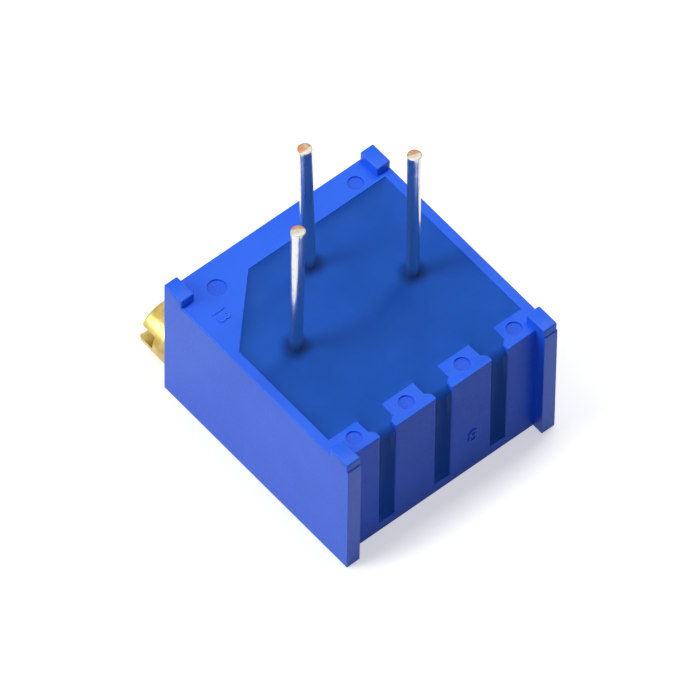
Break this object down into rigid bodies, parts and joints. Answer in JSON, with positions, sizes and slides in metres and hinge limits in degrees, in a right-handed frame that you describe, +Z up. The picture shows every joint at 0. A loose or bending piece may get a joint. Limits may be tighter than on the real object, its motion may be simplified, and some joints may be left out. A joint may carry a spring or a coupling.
{
  "type": "trimmer potentiometer",
  "caption": "Square side-adjust multiturn trimmer potentiometer: slotted worm screw drives a sealed wiper rotor, with wire leads standing up from its potted side.",
  "frame": {"origin": "centre of the housing's flat face, the face opposite the leads, on which it rests as pictured", "axes": "+X along the adjusting screw, away from its head; +Y across, away from the screw; +Z up, along the leads"},
  "size_m": [0.0116, 0.0096, 0.0126],
  "materials": {
    "housing_nylon": "satin",
    "blue_epoxy": "satin",
    "alumina": "matte",
    "cermet": "matte",
    "silver_film": "satin",
    "solder": "satin",
    "tinned_copper": "satin",
    "turned_brass": "satin",
    "nitrile_rubber": "matte",
    "stainless_clip": "satin",
    "rotor_resin": "satin",
    "spring_alloy": "satin"
  },
  "bodies": {
    "housing": {"housing": "housing_nylon", "potting": "blue_epoxy", "substrate": "alumina", "resistive_track": "cermet", "collector_film": "silver_film", "end_film_1": "silver_film", "end_film_3": "silver_film", "solder_joint_1": "solder", "solder_joint_2": "solder", "solder_joint_3": "solder", "lead_1": "tinned_copper", "lead_2": "tinned_copper", "lead_3": "tinned_copper", "screw_clip": "stainless_clip"},
    "screw": {"adjusting_screw": "turned_brass", "o_ring": "nitrile_rubber"},
    "rotor": {"rotor": "rotor_resin", "wiper": "spring_alloy"}
  },
  "joints": [
    {"name": "screw_turn", "type": "hinge", "parent": "housing", "child": "screw", "pos_m": [-0.00502, -0.00349, 0.00127], "axis": [1, 0, 0], "range_deg": [-4500, 4500]},
    {"name": "rotor_turn", "type": "hinge", "parent": "housing", "child": "rotor", "pos_m": [-0.00021, 0, 0.00127], "axis": [0, 0, 1], "range_deg": [-150, 150]}
  ],
  "couplings": [
    {"joint": "rotor_turn", "follows": "screw_turn", "ratio": -0.033333}
  ]
}
